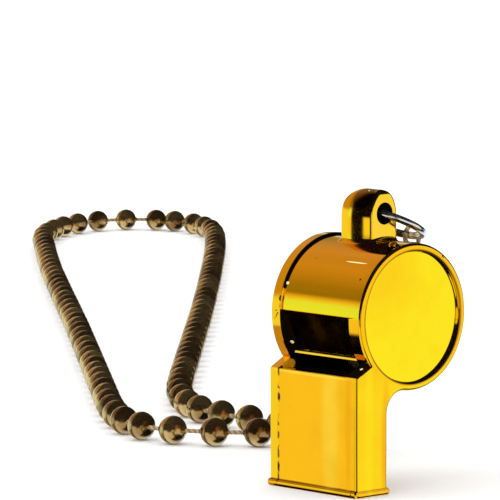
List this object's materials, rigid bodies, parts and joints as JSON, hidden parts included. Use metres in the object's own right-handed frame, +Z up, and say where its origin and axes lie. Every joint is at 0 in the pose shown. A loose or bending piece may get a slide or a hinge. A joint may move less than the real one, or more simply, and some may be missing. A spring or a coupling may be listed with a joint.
{
  "type": "whistle necklace",
  "caption": "Gold pea whistle with a sounding window, side panels and a wire ring through its lug, hung on a closed string of small moulded beads to wear round the neck.",
  "frame": {"origin": "middle of the whistle's box at the level of its mouth end, on the floor", "axes": "+Z up from the mouth end to the lug, +X along the chamber to the moulded side, +Y to the back, so the sounding window faces -Y"},
  "size_m": [0.3523, 0.2667, 0.0508],
  "materials": {
    "gold_plastic": "metallised gloss",
    "bead_gold": "metallised gloss",
    "ring_wire": "bright",
    "thread": "matt",
    "cork": "matt"
  },
  "bodies": {
    "chain": {"string": "thread", "left_drop_beads": "bead_gold", "left_strand_beads": "bead_gold", "neck_beads": "bead_gold", "join_beads": "bead_gold", "right_strand_beads": "bead_gold", "right_drop_beads": "bead_gold"},
    "ring": {"jump_ring": "ring_wire"},
    "whistle": {"whistle_body": "gold_plastic", "side_cover": "gold_plastic"},
    "pea": {"pea": "cork"}
  },
  "joints": [
    {"name": "ring_on_string", "type": "hinge", "parent": "chain", "child": "ring", "pos_m": [0, 0.01063, 0.04201], "axis": [-1, 0, 0], "range_deg": [0, 90]},
    {"name": "whistle_swing", "type": "hinge", "parent": "ring", "child": "whistle", "pos_m": [0, 0.00035, 0.0468], "axis": [-1, 0, 0], "range_deg": [0, 180]},
    {"name": "pea_roll", "type": "hinge", "parent": "whistle", "child": "pea", "pos_m": [0, 0.00035, 0.0297], "axis": [1, 0, 0], "continuous": true}
  ]
}
